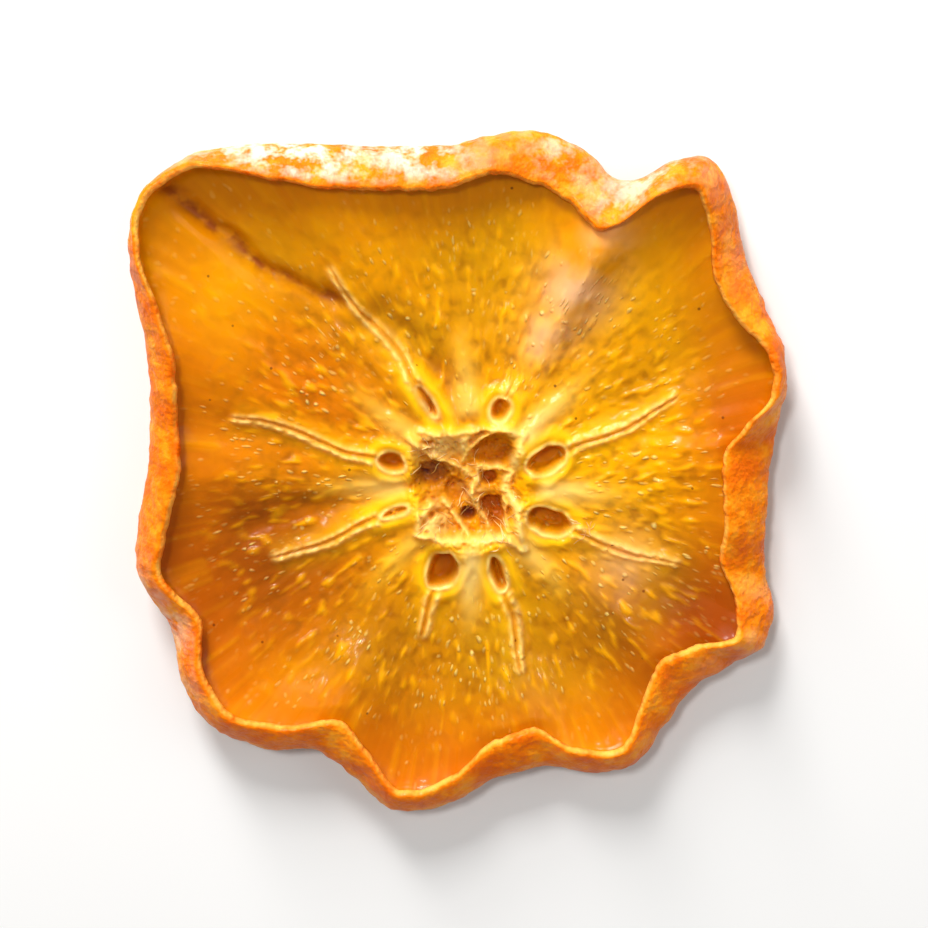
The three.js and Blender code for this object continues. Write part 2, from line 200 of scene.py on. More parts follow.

# Where the peel has a pale bloom with a painted white highlight, mostly along its top, by bearing in degrees.
peelBloomHighlights = [
    {"bearing": 117, "spread": 11, "much": 1.0},
    {"bearing": 98, "spread": 7, "much": 0.8},
    {"bearing": 76, "spread": 6, "much": 0.35},
    {"bearing": 62, "spread": 6, "much": 0.5},
    {"bearing": 46, "spread": 8, "much": 0.1},
    {"bearing": 330, "spread": 10, "much": 0.15},
    {"bearing": 205, "spread": 12, "much": 0.35},
]

# Patches of colour on the cut face, in plan, in mm. The brown patches and the deep orange and olive ones are
# partly painted shade, the glow patch at 13.5, 16.5 is painted light on a slope left in shade, and the frost
# patches are partly a painted reflection.
patches = [
    {"mask": "glow", "x": 9, "y": 4, "size": 8, "much": 0.55},
    {"mask": "glow", "x": -15, "y": 13, "size": 7, "much": 0.25},
    {"mask": "rust", "x": -16, "y": 8, "size": 11, "much": 0.75},
    {"mask": "brown", "x": -20, "y": -7, "size": 8, "much": 0.6},
    {"mask": "brown", "x": 27, "y": 8, "size": 5, "much": 0.65},
    {"mask": "brown", "x": 22, "y": -13, "size": 5.5, "much": 1.0},
    {"mask": "brown", "x": 13, "y": -15, "size": 7, "much": 0.55},
    {"mask": "brown", "x": -8, "y": -20, "size": 9, "much": 0.25},
    {"mask": "brown", "x": -2.5, "y": 9, "size": 2.6, "much": 0.3},
    {"mask": "glow", "x": 3, "y": 22, "size": 8, "much": 0.6},
    {"mask": "glow", "x": -26, "y": 17, "size": 8, "much": 0.5},
    {"mask": "glow", "x": 17, "y": 17, "size": 7, "much": 0.35},
    {"mask": "rust", "x": -20, "y": -9, "size": 12, "much": 0.9},
    {"mask": "rust", "x": 27, "y": 6, "size": 6, "much": 0.95},
    {"mask": "rust", "x": 24, "y": -14, "size": 8, "much": 1.0},
    {"mask": "rust", "x": -4, "y": -25, "size": 8, "much": 0.5},
    {"mask": "olive", "x": 3, "y": -17, "size": 7, "much": 0.6},
    {"mask": "olive", "x": -5, "y": 13, "size": 4, "much": 0.5},
    {"mask": "olive", "x": 18, "y": -12, "size": 7, "much": 0.6},
    {"mask": "olive", "x": -9, "y": -15, "size": 6, "much": 0.4},
    # painted light: this glow lightens the slope beside the ridge that the lamps leave in shade
    {"mask": "glow", "x": 13.5, "y": 16.5, "size": 4, "much": 0.7},
    {"mask": "frost", "x": 9.2, "y": 18, "size": 3.0, "much": 0.95},
    {"mask": "frost", "x": 7, "y": 13.5, "size": 2.4, "much": 0.8},
    {"mask": "frost", "x": 12, "y": 22, "size": 2.5, "much": 0.5},
    {"mask": "frost", "x": 14, "y": -8, "size": 3.0, "much": 0.35},
]

maskNames = ["pale", "deep", "edge", "crease", "frost", "glow", "rust", "olive", "shade", "blob", "sleek",
             "dusk", "brown", "streaky"]


def smooth(value, low, high):
    share = np.clip((value - low) / (high - low), 0, 1)
    return share * share * (3 - 2 * share)


def mix(a, b, share):
    return a + (b - a) * share


def between(start, end):  # signed angle in degrees
    return (end - start + 180) % 360 - 180


def bumps(rows, column, bearing):
    total = np.zeros_like(bearing)
    for row in rows:
        total += row[column] * np.exp(-(between(row["bearing"], bearing) / row["spread"]) ** 2)
    return total


def roundCurve(column):  # the rim table as a smooth closed curve over the bearing
    spots = np.array([row[0] for row in rim], float)
    values = np.array([row[column] for row in rim], float)
    gaps = (np.roll(spots, -1) - spots) % 360
    slopes = (np.roll(values, -1) - values) / gaps
    before = np.roll(slopes, 1)
    level = slopes * before <= 0
    tangents = np.where(level, 0, 2 * slopes * before / np.where(level, 1, slopes + before))

    def curve(bearing):
        index = np.searchsorted(spots, bearing % 360, side="right") - 1
        after = (index + 1) % len(spots)
        share = ((bearing - spots[index]) % 360) / gaps[index]
        rest = 1 - share
        return (values[index] * (1 + 2 * share) * rest ** 2 + values[after] * (3 - 2 * share) * share ** 2
                + gaps[index] * share * rest * (tangents[index] * rest - tangents[after] * share))
    return curve


outerAt, rollAt = roundCurve(1), roundCurve(2)


def grain(x, y, z, size, seed):  # smooth noise from -1 to 1, with features of about that size in mm
    return np.array([noise.noise(Vector((a / size + seed, b / size, c / size))) for a, b, c in zip(x, y, z)])


def streaks(radius, bearing, wide, long, seed):  # noise drawn out along the radius, alike in width all over
    turn = np.radians(bearing)
    total, weight = 0, 0
    for middle in (6.5, 11, 18, 28):
        share = np.exp(-(np.log(np.maximum(radius, 0.5) / middle) / 0.3) ** 2) + 1e-4
        drawnOut = np.cos(turn) * middle, np.sin(turn) * middle, radius * wide / long
        total = total + share * grain(*drawnOut, wide, seed + middle)
        weight = weight + share
    return total / weight


def sectionAt(bearing):
    s = sliceShape
    outer, roll = outerAt(bearing), rollAt(bearing)
    fold = bumps(folds, "rise", bearing)
    backHeight = s["backHeight"] + 0.5 * fold
    frontHeight = backHeight + np.sqrt(s["peelWidth"] ** 2 - roll ** 2) + 0.2 * fold
    lean = roll / s["peelWidth"]  # the peel's cut edge is square to it, so it tips as the peel leans
    turn = np.radians(bearing)
    skin = peelSkin
    onEdge = skin["edgeRadius"] * np.cos(turn), skin["edgeRadius"] * np.sin(turn), 0 * turn
    ragged = grain(*onEdge, skin["raggedMm"], 40) + 0.5 * grain(*onEdge, skin["raggedFineMm"], 44)
    return {
        "outer": outer,
        "fold": fold,
        "web": outer - s["webInset"],
        "frontEdge": outer - roll + skin["ragged"] * ragged,
        "frontHeight": frontHeight - skin["raggedHeight"] * ragged,
        "lipInset": s["lip"] * np.sqrt(1 - lean ** 2),
        "lipDrop": s["lipRound"] + s["lip"] * np.maximum(lean, 0),
        "insideCorner": outer - s["cornerInset"] - s["cornerLean"] * np.maximum(roll, 0),
        "backHeight": backHeight,
    }


def undersideHeight(radius, section):
    s = sliceShape
    along = np.clip((radius - s["restRadius"]) / (section["web"] - s["restRadius"]), 0, 1.2)
    swell = smooth(radius, s["restRadius"], section["web"])
    return s["rimRise"] * along ** s["riseCurve"] + section["fold"] * s["foldSwell"] * swell


def creaseRelief(x, y, masks):
    lowered, raised = np.zeros_like(x), np.zeros_like(x)
    wander = grain(x, y, 0 * x, 2.2, 90)
    for row in creases:
        dx, dy = row["x2"] - row["x1"], row["y2"] - row["y1"]
        length = math.hypot(dx, dy)
        along = ((x - row["x1"]) * dx + (y - row["y1"]) * dy) / length
        across = ((y - row["y1"]) * dx - (x - row["x1"]) * dy) / length + 0.45 * wander
        past = np.maximum(np.maximum(-along, along - length), 0)
        line = np.exp(-(across / row["wide"]) ** 2 - (past / 1.4) ** 2)
        lowered = np.maximum(lowered, row["deep"] * line)
        raised = np.maximum(raised, -row["deep"] * line)
        thread = np.exp(-(across / row["wide"] * 1.5) ** 2 - (past / 1.2) ** 2)
        # the darker crease colour is partly painted shade in the crease
        masks["crease"] = np.maximum(masks["crease"], row["rust"] * thread)
    return raised - lowered


def chamberRelief(chamber, x, y, drift, masks):
    skin = chamberSkin
    lean = math.radians(chamber["bearing"])
    along = x * math.cos(lean) + y * math.sin(lean)
    across = y * math.cos(lean) - x * math.sin(lean) + 0.12 * drift
    pitEnd, slitEnd = chamber["away"] + chamber["long"], chamber["slitEnd"]
    beyond = smooth(along, pitEnd - 0.5, pitEnd + 3)
    stray = chamber["bow"] * np.maximum(along - chamber["away"], 0) / 10
    side = across - stray - beyond * 0.4 * np.sin(along * 0.45 + chamber["bearing"])
    u, v = (along - chamber["away"]) / chamber["long"], side / chamber["wide"]
    knobbly = grain(x, y, 0 * x, 1.1, chamber["bearing"])
    oval = np.hypot(u, v) + 0.14 * knobbly
    outside = (oval - 1) * oval / np.maximum(np.hypot(u / chamber["long"], v / chamber["wide"]), 1e-3)
    pit = 1 - smooth(outside, -0.8, 0.0)
    pitLip = np.exp(-((outside - 0.05) / skin["lipWidth"]) ** 2) * np.clip(0.8 + 0.8 * knobbly, 0.25, 1)
    # the slit: two lips that draw together, and the groove between them
    gap = skin["slitHalfGap"] * (1 - 0.15 * beyond - 0.35 * smooth(along, pitEnd + 4, slitEnd))
    fading = 1 - 0.6 * smooth(along, pitEnd, slitEnd)
    inSlit = smooth(along, pitEnd - 0.2, pitEnd + 0.5) * (1 - smooth(along, slitEnd - 1.0, slitEnd))
    beaded = np.clip(0.75 + 1.1 * grain(x, y, 0 * x, 0.5, chamber["bearing"] + 7), 0.3, 1.15)
    slitLip = inSlit * beaded * np.maximum(np.exp(-((side - gap) / (skin["lipWidth"] * 1.3)) ** 2),
                                           0.75 * np.exp(-((side + gap) / skin["lipWidth"]) ** 2))
    groove = inSlit * np.exp(-((side + 0.04) / (gap * 0.42)) ** 2)
    glowing = inSlit * np.exp(-(side / 1.5) ** 2) * fading
    nearPit = np.exp(-((outside - 0.7) / 0.6) ** 2)
    besideSlit = inSlit * np.exp(-(side / skin["collarWidth"]) ** 2) * fading
    masks["pale"] = np.maximum(masks["pale"], np.clip(np.maximum(pitLip, 0.8 * slitLip), 0, 1))
    masks["sleek"] = np.maximum(masks["sleek"], np.maximum(nearPit, 0.6 * glowing))
    # the pit, darker towards one side, and the slit's groove take the pit colour: partly their own colour,
    # partly painted shade
    masks["deep"] = np.maximum(masks["deep"], np.maximum(pit * (0.6 + 0.35 * v), 0.5 * groove))
    lips = skin["lipHeight"] * np.maximum(pitLip, slitLip)
    swell = skin["collarHeight"] * np.maximum(nearPit, besideSlit) * (1 - pit)
    return swell + lips - chamber["deep"] * pit - skin["slitDepth"] * groove


def spotShare(rows, x, y):  # 1 in the middle of any of some round spots, fading outwards
    total = np.zeros_like(x)
    for row in rows:
        total = np.maximum(total, np.exp(-((x - row["x"]) ** 2 + (y - row["y"]) ** 2) / row["size"] ** 2))
    return total


def coreRelief(x, y, drift, masks):
    zero = 0 * x
    fromMiddle = np.hypot(x - core["x"], y - core["y"])
    turn = np.arctan2(y - core["y"], x - core["x"])
    squareness = 1 + 0.06 * np.cos(4 * (turn - 0.73)) + 0.06 * np.sin(3 * turn)
    edge = core["radius"] * squareness + 0.5 * grain(x, y, zero, 1.9, 3)
    inside = 1 - smooth(fromMiddle, edge - 1.4, edge)
    nearCore = 1 - smooth(fromMiddle, edge, edge + 1.3)
    well, dark = np.zeros_like(x), np.zeros_like(x)
    torn = 0.16 * drift + 0.14 * grain(x, y, zero, 0.8, 52)
    for row in wells:
        hole = 1 - smooth(np.hypot(x - row["x"], y - row["y"]) / row["radius"] + torn, 0.55, 1.0)
        well = np.maximum(well, row["deep"] * hole)
        dark = np.maximum(dark, row["dark"] * hole)
    stray = 0.28 * grain(x, y, zero, 0.9, 33)
    standing, cream = np.zeros_like(x), np.zeros_like(x)
    for row in membranes:
        for (x1, y1), (x2, y2) in zip(row["path"], row["path"][1:]):
            dx, dy = x2 - x1, y2 - y1
            share = np.clip(((x - x1) * dx + (y - y1) * dy) / (dx * dx + dy * dy), 0, 1)
            apart = np.hypot(x - x1 - share * dx, y - y1 - share * dy) + stray
            line = np.exp(-(apart / row["wide"]) ** 2)
            standing = np.maximum(standing, row["high"] * line)
            cream = np.maximum(cream, row["pale"] * line)
    strands = 1 - np.abs(grain(x, y, zero, 0.5, 47)) * 3.4
    pores = np.clip(1.1 - np.abs(grain(x, y, zero, 0.85, 31)) * 4.2, -1, 1)
    foam = spotShare(foams, x, y) * nearCore
    masks["pale"] = np.maximum(masks["pale"], np.clip(np.maximum(cream * (0.8 + 0.2 * strands),
                                                                 foam * (0.62 + 0.5 * pores)), 0, 1))
    # darker in the wells, between the strands and in the pores: partly their own colour, partly painted shade
    # in the hollows
    hollow = np.clip(0.95 * dark + 0.25 * inside + 0.35 * nearCore * np.clip(-strands, 0, 1), 0, 1)
    hollow = np.maximum(hollow, foam * np.clip(-0.9 * pores, 0, 0.8))
    masks["deep"] = np.maximum(masks["deep"], nearCore * hollow * (1 - 0.9 * np.clip(cream, 0, 1)))
    for row in duskSpots:
        spot = np.exp(-((x - row["x"]) / row["wide"]) ** 2 - ((y - row["y"]) / row["high"]) ** 2)
        strandy = np.clip(row["much"] - row["strandy"] * strands, 0.3, 1)
        masks["dusk"] = np.maximum(masks["dusk"], spot * strandy)
    masks["sleek"] = np.maximum(masks["sleek"], 0.7 * np.clip(cream, 0, 1))
    fine = nearCore * (core["tear"] * strands + 0.3 * foam * pores)
    rimRidge = core["rimHeight"] * np.exp(-((fromMiddle - edge - 0.3) / 0.8) ** 2)
    sunken = core["depth"] * inside * (1 - 0.75 * foam) + well * (1 - np.clip(cream, 0, 1))
    return rimRidge + standing + fine - sunken


def cutFace(radius, bearing, section):  # height of the cut face, and its masks
    turn = np.radians(bearing)
    x, y = radius * np.cos(turn), radius * np.sin(turn)
    zero = 0 * x
    height = undersideHeight(radius, section)
    height = height + mix(sliceShape["coreThickness"], sliceShape["fleshThickness"], smooth(radius, 6, 19))
    masks = {name: np.zeros_like(radius) for name in maskNames}
    drift = grain(x, y, zero, 3.0, 11)
    for chamber in chambers:
        height += chamberRelief(chamber, x, y, drift, masks)
    # pale walls between the chambers
    out = smooth(radius, core["radius"], core["radius"] + 1.5) * (1 - smooth(radius, 9, walls["reach"]))
    for index, chamber in enumerate(chambers):
        step = between(chamber["bearing"], chambers[(index + 1) % len(chambers)]["bearing"])
        across = np.radians(between(chamber["bearing"] + step / 2, bearing)) * radius / walls["halfWidth"]
        wall = out * np.exp(-(across + 0.3 * drift) ** 2)
        height += walls["height"] * wall
        close = 1 - smooth(radius, 6, 15)
        whiteness = np.clip(chamber["wall"] * (0.2 + 0.7 * close), 0, 0.85)
        masks["pale"] = np.maximum(masks["pale"], whiteness * wall * (1 - masks["deep"]))
        masks["sleek"] = np.maximum(masks["sleek"], 0.6 * wall)
    height += coreRelief(x, y, drift, masks)
    # creases, fibres and dimples
    height += creaseRelief(x, y, masks)
    meaty = smooth(radius, 5.5, 8) * (1 - masks["deep"]) * (1 - 0.85 * masks["sleek"])
    fibres = streaks(radius, bearing, **streakSizes["fibres"])
    coarse = streaks(radius, bearing, **streakSizes["coarse"])
    blobs = np.clip(streaks(radius, bearing, **streakSizes["blobs"]) - 0.12, 0, 1)
    fine = 0.55 * streaks(radius, bearing, **streakSizes["fine"]) + 0.7 * grain(x, y, zero, 0.9, 175)
    calm = 1 - 0.75 * smooth(radius, 19, 26)
    masks["streaky"] = 0.5 + 0.45 * fine
    height += meaty * calm * (0.1 * fibres + 0.07 * fine + 0.5 * blobs) + meaty * 0.2 * coarse
    height += 0.12 * grain(x, y, zero, 3.4, 5)
    masks["blob"] = np.clip(meaty * blobs * calm * 3.2, 0, 1)
    for row in patches:
        away = (x - row["x"]) ** 2 + (y - row["y"]) ** 2
        masks[row["mask"]] = np.maximum(masks[row["mask"]], row["much"] * np.exp(-away / row["size"] ** 2))
    # painted shade: the valleys of the folds darken towards olive
    sunken = np.clip(-section["fold"] / 1.6, 0, 1) * smooth(radius, 8, 16)
    masks["olive"] = np.maximum(masks["olive"], 0.35 * sunken)
    # painted shade: the face darkens towards the rim, under the rolled peel
    masks["shade"] = smooth(radius, section["web"] - 5, section["web"] + 1)
    lowest = np.maximum(undersideHeight(radius, section), 0) + sliceShape["thinnest"]
    return np.maximum(height, lowest), masks


def at(radius, height, bearing):
    turn = np.radians(bearing)
    return np.stack([radius * np.cos(turn), radius * np.sin(turn), height], 1)


def bend(share, start, corner, end):
    weights = (1 - share) ** 2, 2 * share * (1 - share), share ** 2
    return [weights[0] * a + weights[1] * b + weights[2] * c for a, b, c in zip(start, corner, end)]


def noMasks(bearing):
    return {name: np.zeros_like(bearing) for name in maskNames}


def onCutFace(share, bearing):
    section = sectionAt(bearing)
    s = sliceShape
    radius = share * mix(s["faceReach"], section["web"], smooth(share, 0.45, 1))
    height, masks = cutFace(radius, bearing, section)
    return at(radius, height, bearing), masks


def onInsideOfPeel(share, bearing):
    section = sectionAt(bearing)
    height, masks = cutFace(section["web"], bearing, section)
    start = (section["web"], height)
    end = (section["frontEdge"] - section["lipInset"], section["frontHeight"] - section["lipDrop"])
    corner = (section["insideCorner"], np.minimum(height + 0.6, end[1] - 0.9))
    masks["edge"] = np.full_like(bearing, float(smooth(np.array(share), 0.96, 1.0)))
    # painted shade: the inside of the peel is darkened all over
    masks["shade"] = np.full_like(bearing, 1.0)
    radius, height = bend(share, start, corner, end)
    height = height + 0.1 * share * (1 - share) * 4 * grain(radius, bearing / 2, 0 * radius, 1.3, 9)
    return at(radius, height, bearing), masks


def onLip(share, bearing):
    section = sectionAt(bearing)
    radius = section["frontEdge"] - section["lipInset"] * (1 - share)
    height = section["frontHeight"] - section["lipDrop"] * (1 - share) + 0.18 * math.sin(math.pi * share)
    masks = noMasks(bearing)
    masks["edge"] += float(1 - smooth(np.array(share), 0.25, 0.8))
    return at(radius, height, bearing), masks


def onOutsideOfPeel(share, bearing):
    section = sectionAt(bearing)
    start = (section["frontEdge"], section["frontHeight"])
    s, skin = sliceShape, peelSkin
    bulge = mix(section["backHeight"], section["frontHeight"], s["bulgeHeight"])
    corner = (section["outer"] + s["bulgeOut"], bulge)
    end = (section["outer"] - s["backInset"], section["backHeight"])
    masks = noMasks(bearing)
    radius, height = bend(share, start, corner, end)
    turn = np.radians(bearing)
    x, y = radius * np.cos(turn), radius * np.sin(turn)
    # painted highlight: white frost where the peel catches the light, mostly along its top
    masks["frost"] = math.sin(math.pi * share) ** 0.5 * np.clip(bumps(peelBloomHighlights, "much", bearing), 0, 1)
    swell = math.sin(math.pi * share) ** 0.7
    wrinkled = skin["wrinkle"] * grain(x, y, height, skin["wrinkleMm"], 70)
    wrinkled = wrinkled + skin["fineWrinkle"] * grain(x, y, height, skin["fineWrinkleMm"], 80)
    radius = radius + swell * (wrinkled - skin["drawnIn"])
    return at(radius, height, bearing), masks


def onBackOfRim(share, bearing):
    section = sectionAt(bearing)
    s = sliceShape
    start = (section["outer"] - s["backInset"] - s["lip"], section["backHeight"] - 0.1)
    end = (section["web"], undersideHeight(section["web"], section))
    corner = ((start[0] + end[0]) / 2, np.maximum(start[1], end[1]) + 0.3)
    radius, height = bend(share, start, corner, end)
    return at(radius, height, bearing), noMasks(bearing)


def onUnderside(share, bearing):
    section = sectionAt(bearing)
    g, rest = underGrooves, sliceShape["restRadius"]
    radius = rest + share * (section["web"] - rest)
    height = np.maximum(undersideHeight(radius, section), 0)
    masks = noMasks(bearing)
    out = smooth(radius, rest + 0.5, rest + 3) * (1 - smooth(radius, g["fadeFrom"], g["fadeTo"]))
    for chamber in chambers:
        across = np.radians(between(chamber["bearing"], bearing)) * radius / g["halfWidth"]
        groove = out * np.exp(-across ** 2)
        height = height + g["deep"] * groove
        masks["deep"] = np.maximum(masks["deep"], groove)
    return at(radius, height, bearing), masks


def onRestingSpot(share, bearing):
    return at(share * sliceShape["restRadius"] + 0 * bearing, 0 * bearing, bearing), noMasks(bearing)


# Rings of points from the middle of the cut face, out over the peel and back to the middle underneath.
fineness = {
    "starRings": 84,
    "starReach": 0.54,
    "outerRings": 46,
    "rimPoints": 750,
    "insideRings": 22,
    "lipRings": 4,
    "outsideRings": 18,
    "rimBackRings": 6,
    "backRings": 32,
    "backPoints": 420,
    "restPoints": 100,
    "restRings": 8,
}


def ringsOfSlice():  # each with its place, its share of the way across, its number of points and its material
    f = fineness
    flesh, peel, tray = 0, 1, 2
    plan = []
    for i in range(f["starRings"] + 1):
        plan.append((onCutFace, f["starReach"] * i / f["starRings"], max(1, 6 * i), flesh))
    for i in range(1, f["outerRings"] + 1):
        share = i / f["outerRings"]
        count = int(mix(6 * f["starRings"], f["rimPoints"], min(share * 1.6, 1)))
        plan.append((onCutFace, mix(f["starReach"], 1, share), count, flesh))
    for place, rings, slot in ((onInsideOfPeel, f["insideRings"], flesh), (onLip, f["lipRings"], peel),
                               (onOutsideOfPeel, f["outsideRings"], peel)):
        plan += [(place, i / rings, f["rimPoints"], slot) for i in range(1, rings + 1)]
    for i in range(f["rimBackRings"]):
        share = i / f["rimBackRings"]
        plan.append((onBackOfRim, share, int(mix(f["rimPoints"], f["backPoints"], share)), tray))
    for i in range(f["backRings"], -1, -1):
        share = i / f["backRings"]
        plan.append((onUnderside, share, int(mix(f["restPoints"], f["backPoints"], share)), tray))
    for i in range(f["restRings"] - 1, -1, -1):
        plan.append((onRestingSpot, i / f["restRings"], max(1, 12 * i), tray))
    return plan


def stitch(inner, outer, faces):
    i = j = 0
    while i < inner[1] or j < outer[1]:
        here, there = inner[0] + i % inner[1], outer[0] + j % outer[1]
        outerIsNext = i >= inner[1] or (j < outer[1] and (j + 1) * inner[1] <= (i + 1) * outer[1])
        if outerIsNext:
            j += 1
            following = outer[0] + j % outer[1]
        else:
            i += 1
            following = inner[0] + i % inner[1]
        if following not in (here, there):
            faces.append((here, there, following))


def buildSlice():
    points, faces, slots = [], [], []
    masks = {name: [] for name in maskNames}
    previous, start = None, 0
    for place, share, count, slot in ringsOfSlice():
        bearing = np.arange(count) * 360.0 / count
        places, ringMasks = place(share, bearing)
        points.append(places)
        for name in maskNames:
            masks[name].append(ringMasks[name])
        if previous:
            stitch(previous, (start, count), faces)
            slots += [slot] * (len(faces) - len(slots))
        previous = (start, count)
        start += count
    mesh = bpy.data.meshes.new("driedSlice")
    mesh.from_pydata((np.concatenate(points) * mm).tolist(), [], faces)
    mesh.polygons.foreach_set("material_index", slots)
    mesh.polygons.foreach_set("use_smooth", [True] * len(faces))
    for name in maskNames:
        attribute = mesh.attributes.new(name, "FLOAT", "POINT")
        attribute.data.foreach_set("value", np.concatenate(masks[name]).astype(np.float32))
    mesh.update()
    piece = bpy.data.objects.new("dried_slice", mesh)
    bpy.context.scene.collection.objects.link(piece)
    print("slice mesh:", len(mesh.vertices), "points,", len(faces), "triangles")
    return piece


# Fibres of the torn core: fine strands that curl over its hollows.
fibreSet = {"count": 80, "halfThick": 0.045, "steps": 11, "sides": 5, "lift": 0.06, "seed": 7}
fibreSpots = [
    {"x": -3.4, "y": 3.2, "size": 1.3, "share": 0.2},
    {"x": 0.2, "y": 0.9, "size": 1.0, "share": 0.18},
    {"x": 0.0, "y": -2.2, "size": 1.1, "share": 0.2},
    {"x": 1.9, "y": -4.2, "size": 1.0, "share": 0.12},
    {"x": -3.4, "y": -3.8, "size": 1.2, "share": 0.14},
    {"x": 3.4, "y": -5.3, "size": 0.9, "share": 0.1},
    {"x": 11.0, "y": -4.2, "size": 1.2, "share": 0.1},
]


def buildFibres():
    f = fibreSet
    draw = np.random.default_rng(f["seed"])
    points, faces = [], []
    for spot in fibreSpots:
        for number in range(round(f["count"] * spot["share"])):
            x = spot["x"] + draw.normal(0, spot["size"] * 0.6)
            y = spot["y"] + draw.normal(0, spot["size"] * 0.6)
            heading, curl = draw.uniform(0, 2 * math.pi), draw.normal(0, 0.9)
            length, thick = draw.uniform(0.7, 1.9), f["halfThick"] * draw.uniform(0.6, 1.3)
            run = np.linspace(0, 1, f["steps"])
            angles = heading + curl * run + 0.3 * np.sin(run * 8 + number)
            xs = x + np.cumsum(np.cos(angles)) * length / f["steps"]
            ys = y + np.cumsum(np.sin(angles)) * length / f["steps"]
            bearing, radius = np.degrees(np.arctan2(ys, xs)), np.hypot(xs, ys)
            heights = cutFace(radius, bearing, sectionAt(bearing))[0]
            smoothed = np.convolve(np.pad(heights, 2, mode="edge"), np.ones(5) / 5, "valid")
            arch = f["lift"] * np.sin(math.pi * run) * draw.uniform(0.3, 2.2)
            zs = np.maximum(smoothed, heights - 0.05) + arch
            start = len(points)
            for step in range(f["steps"]):
                across = np.array([-math.sin(angles[step]), math.cos(angles[step]), 0.0])
                girth = thick * (1 - 0.75 * abs(2 * run[step] - 1) ** 3)
                for side in range(f["sides"]):
                    turn = 2 * math.pi * side / f["sides"]
                    offset = girth * (across * math.cos(turn) + np.array([0, 0, 1.0]) * math.sin(turn))
                    points.append((np.array([xs[step], ys[step], zs[step]]) + offset) * mm)
            for step in range(f["steps"] - 1):
                ring = start + step * f["sides"]
                for side in range(f["sides"]):
                    a, b = ring + side, ring + (side + 1) % f["sides"]
                    faces += [(a, b, b + f["sides"]), (a, b + f["sides"], a + f["sides"])]
    mesh = bpy.data.meshes.new("coreFibres")
    mesh.from_pydata([tuple(p) for p in points], [], faces)
    mesh.polygons.foreach_set("use_smooth", [True] * len(faces))
    mesh.update()
    piece = bpy.data.objects.new("core_fibres", mesh)
    bpy.context.scene.collection.objects.link(piece)
    print("core fibres:", len(faces), "triangles")
    return piece


def linear(code):  # sRGB hex to linear, with alpha
    parts = [int(code[i:i + 2], 16) / 255 for i in (1, 3, 5)]
    return [c / 12.92 if c <= 0.04045 else ((c + 0.055) / 1.055) ** 2.4 for c in parts] + [1.0]


# links gives inputs, by name or number, a value or a (node, output). A Map Range node's inputs 1 and 2 are
# the range that it reads, and 3 and 4 the range that it gives.
def addNode(tree, kind, settings=None, links=None):
    node = tree.nodes.new(kind)
    for key, value in (settings or {}).items():
        setattr(node, key, value)
    for key, value in (links or {}).items():
        if isinstance(value, tuple) and isinstance(value[0], bpy.types.Node):
            tree.links.new(value[0].outputs[value[1]], node.inputs[key])
        else:
            node.inputs[key].default_value = value
    return node


def newMaterial(name):
    material = bpy.data.materials.new(name)
    material.use_nodes = True
    tree = material.node_tree
    tree.nodes.clear()
    return material, tree


# Air-dried persimmon flesh: sugary pulp shrunk to a tough amber sheet, which lets light through and shines.
fleshLook = {
    "amber": "#e28600",
    "ripe": "#ffb200",
    # deep orange, partly painted shade near the rim and at the lower corners
    "rust": "#cc5800",
    # olive, partly painted shade in the valleys
    "olive": "#96700a",
    # brown, partly painted shade
    "brown": "#7a3206",
    "shadow": "#8e4a00",
    "sleek": "#ffbc08",
    "pale": "#fdd678",
    # pit colour, partly painted shade in pits, grooves and hollows
    "pit": "#b2580c",
    "dusk": "#4c1f1e",
    # crease colour, partly painted shade
    "crease": "#984610",
    # frost, partly a painted reflection and painted glints
    "frost": "#f8bc84",
    # pale flecks, partly painted glints
    "fleckAndGlint": "#ffe27a",
    "edge": "#ffc050",
    "speck": "#6e3004",
    "blotchMm": 5.0,
    "mottleMm": 1.6,
    "fleckLongMm": 1.0,
    "fleckWideMm": 0.48,
    "swayMm": 2.222,  # how often a fleck's row wanders, and how far, in flecks
    "sway": 1.7,
    "speckMm": 3.2,
    "bandsMm": [(7.0, 0.0), (13.0, 9.5), (24.0, 18.0)],  # a ring's middle radius and where it starts
}


